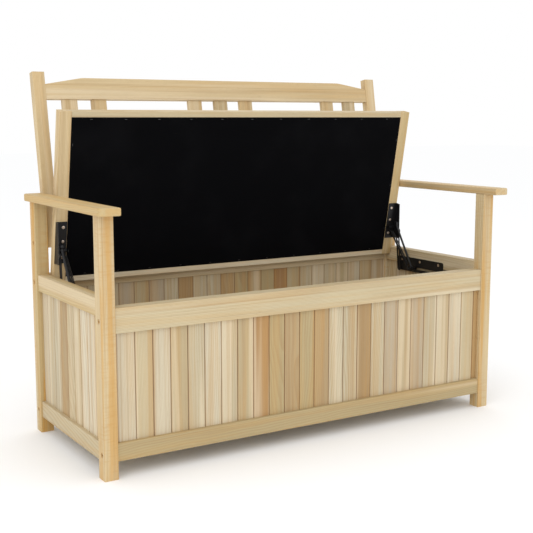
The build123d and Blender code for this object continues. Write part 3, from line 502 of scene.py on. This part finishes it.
def cross_screw(name, place, dome):
    """A cross-head screw along Z with its head up at the origin, then set in place by a matrix."""
    bpy.ops.object.select_all(action="DESELECT")
    middle = -head_height / 2
    bpy.ops.mesh.primitive_cylinder_add(vertices=40, radius=screw_head, depth=head_height,
                                        location=(0, 0, middle))
    screw = bpy.context.object
    screw.name = name
    bpy.ops.object.mode_set(mode="EDIT")
    bpy.ops.mesh.select_mode(type="EDGE")
    bpy.ops.mesh.select_all(action="DESELECT")
    bpy.ops.object.mode_set(mode="OBJECT")
    rim = 0.0 if dome else -head_height
    for edge in screw.data.edges:
        levels = [screw.data.vertices[number].co.z + middle for number in edge.vertices]
        edge.select = all(abs(level - rim) < 1e-6 for level in levels)
    bpy.ops.object.mode_set(mode="EDIT")
    if dome:
        bpy.ops.mesh.bevel(offset=head_round, segments=5, affect="EDGES")
    else:
        taper = screw_radius / screw_head
        bpy.ops.transform.resize(value=(taper, taper, 1.0), center_override=(0, 0, rim))
    bpy.ops.mesh.select_mode(type="FACE")
    bpy.ops.mesh.select_all(action="DESELECT")
    bpy.ops.object.mode_set(mode="OBJECT")
    for face in screw.data.polygons:
        face.select = face.normal.z < -0.99
    bpy.ops.object.mode_set(mode="EDIT")
    if dome:
        bpy.ops.mesh.inset(thickness=screw_head - screw_radius)
    shank = {"value": (0, 0, tip_length - screw_length)}
    tip = {"value": (0, 0, -tip_length)}
    bpy.ops.mesh.extrude_region_move(TRANSFORM_OT_translate=shank)
    bpy.ops.mesh.extrude_region_move(TRANSFORM_OT_translate=tip)
    bpy.ops.transform.resize(value=(0.15, 0.15, 1.0))
    bpy.ops.object.mode_set(mode="OBJECT")
    for turn in (0.0, math.pi / 2):
        bpy.ops.object.select_all(action="DESELECT")
        bpy.ops.mesh.primitive_cone_add(vertices=4, radius1=0.0004, radius2=cross_half, depth=0.0016)
        blade = bpy.context.object
        blade.scale = (1.0, 0.24, 1.0)
        blade.rotation_euler = (0, 0, turn)
        blade.location = (0, 0, 0.0008 - cross_deep)
        bpy.ops.object.transform_apply(location=True, rotation=True, scale=True)
        cut = screw.modifiers.new("cross", "BOOLEAN")
        cut.object = blade
        cut.solver = "EXACT"
        bpy.context.view_layer.objects.active = screw
        bpy.ops.object.modifier_apply(modifier=cut.name)
        bpy.data.objects.remove(blade)
    bpy.ops.object.select_all(action="DESELECT")
    screw.select_set(True)
    bpy.context.view_layer.objects.active = screw
    bpy.ops.object.transform_apply(location=True, rotation=True, scale=True)
    bpy.ops.object.shade_smooth_by_angle(angle=math.radians(35))
    screw.data.transform(place)
    return screw


def screw_set(name, places, dome, body):
    """Screws of one kind, joined in one piece that stands for its CAD node."""
    first = None
    for number, place in enumerate(places):
        screw = cross_screw(name + "_zinc" + ("" if number == 0 else str(number)), place, dome)
        if first is None:
            first = screw
            continue
        bpy.ops.object.select_all(action="DESELECT")
        screw.select_set(True)
        first.select_set(True)
        bpy.context.view_layer.objects.active = first
        bpy.ops.object.join()
    first.data.materials.clear()
    first.data.materials.append(bright_zinc)
    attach(first, body)
    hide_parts(name)


lid_edge = 0.5385
lid_under = -0.011
screw_inset = 0.020
head_down = Matrix.Rotation(math.pi, 4, "X")
lid_screws = []
for sign in (-1, 1):
    for number, reach in enumerate((0.0574, 0.0984, 0.1354)):
        seat = Vector((sign * (lid_edge - screw_inset), -reach, lid_under - plate_thick - head_height))
        twist = Matrix.Rotation(0.5 + 0.7 * number + sign, 4, "Z")
        lid_screws.append(lid_place @ Matrix.Translation(seat) @ head_down @ twist)
screw_set("lid_bracket_screws", lid_screws, True, "lid")
box_screws = []
plate_face = 0.539
screw_level = 0.379
for sign, side in ((-1, "left"), (1, "right")):
    low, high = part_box("box_bracket_" + side)
    middle = (low[1] + high[1]) / 2
    for number, y in enumerate((low[1] + screw_inset, middle, high[1] - screw_inset)):
        facing = Matrix.Rotation(-sign * math.pi / 2, 4, "Y")
        twist = Matrix.Rotation(0.4 + 0.9 * number, 4, "Z")
        box_screws.append(Matrix.Translation((sign * plate_face, y, screw_level)) @ facing @ twist)
screw_set("box_bracket_screws", box_screws, False, "frame")


# Stay springs. Close-wound steel wire with a black coat, each end bent into an open hook.
# The lower hook holds the arm's running pin, the upper one the post of the lid bracket.
spring_wire = 0.0008
spring_radius = 0.0044
spring_turns = 46
spring_lead = 0.016
spring_bend = 0.0016
hook_tail = 0.0024
turn_steps = 18
spring_post = (0.0774, 0.0190)
post_place = lid_place @ Vector((0, -spring_post[0], -spring_post[1]))


def ring_picked(spring, level):
    """Select the wire's end ring, which crosses the plane X = 0 at one level."""
    bpy.ops.object.mode_set(mode="OBJECT")
    for part in (spring.data.polygons, spring.data.edges):
        for item in part:
            item.select = False
    for point in spring.data.vertices:
        off = Vector((point.co.x, point.co.y - spring_radius, point.co.z - level))
        point.select = abs(off.x) < 1e-6 and off.length < 1.1 * spring_wire
    bpy.ops.object.mode_set(mode="EDIT")
    bpy.ops.mesh.select_mode(type="VERT")
    bpy.ops.mesh.select_mode(type="EDGE")


def hook_bent(level, pin, way):
    """Bend the picked end along the spring's axis, up or down as way is 1 or -1, and half round a pin."""
    side = -way * spring_bend
    start = level + way * spring_bend
    bpy.ops.mesh.spin(steps=6, angle=-math.pi / 2, center=(0, 0, start), axis=(0, 1, 0))
    bpy.ops.mesh.extrude_region_move(TRANSFORM_OT_translate={"value": (0, 0, pin - start)})
    bpy.ops.mesh.spin(steps=12, angle=way * math.pi, center=(side, 0, pin), axis=(1, 0, 0))
    bpy.ops.mesh.extrude_region_move(TRANSFORM_OT_translate={"value": (0, 0, -way * hook_tail)})
    bpy.ops.mesh.edge_face_add()


for side in ("left", "right"):
    foot = Vector(joints["spring_swing_" + side]["pos_m"])
    head = Vector((foot.x, post_place.y, post_place.z))
    length = (head - foot).length
    coil = length - 2 * spring_lead
    bpy.ops.object.select_all(action="DESELECT")
    start = (0, spring_radius, spring_lead)
    bpy.ops.mesh.primitive_circle_add(vertices=10, radius=spring_wire, location=start,
                                      rotation=(0, math.pi / 2, 0))
    spring = bpy.context.object
    spring.name = "stay_spring_wire_" + side
    bpy.ops.object.transform_apply(location=True, rotation=True, scale=True)
    wound = spring.modifiers.new("wound", "SCREW")
    wound.axis = "Z"
    wound.angle = 2 * math.pi
    wound.iterations = spring_turns
    wound.screw_offset = coil / spring_turns
    wound.steps = turn_steps
    wound.render_steps = turn_steps
    bpy.ops.object.modifier_apply(modifier=wound.name)
    ring_picked(spring, spring_lead)
    hook_bent(spring_lead, 0.0, -1)
    ring_picked(spring, length - spring_lead)
    hook_bent(length - spring_lead, length, 1)
    bpy.ops.mesh.select_all(action="SELECT")
    bpy.ops.mesh.remove_doubles(threshold=1e-6)
    bpy.ops.mesh.normals_make_consistent(inside=False)
    bpy.ops.object.mode_set(mode="OBJECT")
    bpy.ops.object.shade_smooth_by_angle(angle=math.radians(50))
    up = (head - foot).normalized()
    across = Vector((1, 0, 0))
    turn = Matrix((across, up.cross(across), up)).transposed().to_4x4()
    spring.data.transform(Matrix.Translation(foot) @ turn)
    spring.data.materials.append(black_steel)
    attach(spring, "stay_spring_" + side)
    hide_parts("stay_spring_" + side)


# Studio. A floor of pale paper that runs out to a white surround, as behind goods in a catalogue.
# Three broad soft lights stand at the front left, low in front and overhead.
bpy.ops.object.select_all(action="DESELECT")
bpy.ops.mesh.primitive_plane_add(size=40, location=(0, 0, 0))
ground = bpy.context.object
ground.name = "studio_floor"
paper = Finish("studio_paper")
paper.wear({"Base Color": (0.985, 0.988, 0.993, 1.0), "Roughness": 0.95, "Specular IOR Level": 0.0})
ground.data.materials.append(paper.material)
world = bpy.data.worlds.new("studio_surround")
bpy.context.scene.world = world
world.use_nodes = True
world.node_tree.nodes["Background"].inputs[0].default_value = (1.0, 1.0, 1.0, 1.0)
world.node_tree.nodes["Background"].inputs[1].default_value = 1.0


def lamp(name, place, target, size, power):
    """A square soft light that faces a point."""
    data = bpy.data.lights.new(name, "AREA")
    data.size = size
    data.energy = power
    obj = bpy.data.objects.new(name, data)
    bpy.context.scene.collection.objects.link(obj)
    obj.location = place
    obj.rotation_euler = (Vector(target) - Vector(place)).to_track_quat("-Z", "Y").to_euler()


lamp("key_light", (-2.7, -2.5, 2.4), (0, 0, 0.4), 2.2, 30)
lamp("low_light", (0.3, -3.6, 0.7), (0, 0, 0.1), 2.0, 8)
lamp("top_light", (0.2, -0.4, 3.6), (0, 0, 0.4), 3.0, 8)


# Camera. It stands before the left end of the bench at the height of the back, with a short telephoto lens,
# and looks down by some eight degrees. Its place and turn are fitted to the photograph's edges.
camera = bpy.data.objects.new("photo_camera", bpy.data.cameras.new("photo_camera"))
bpy.context.scene.collection.objects.link(camera)
camera.location = (-1.38744, -2.24626, 0.80288)
camera.rotation_euler = (math.radians(81.539), 0, math.radians(-31.607))
camera.data.sensor_width = 36
camera.data.lens = 67.69
bpy.context.scene.camera = camera
bpy.context.scene.view_settings.view_transform = "Standard"
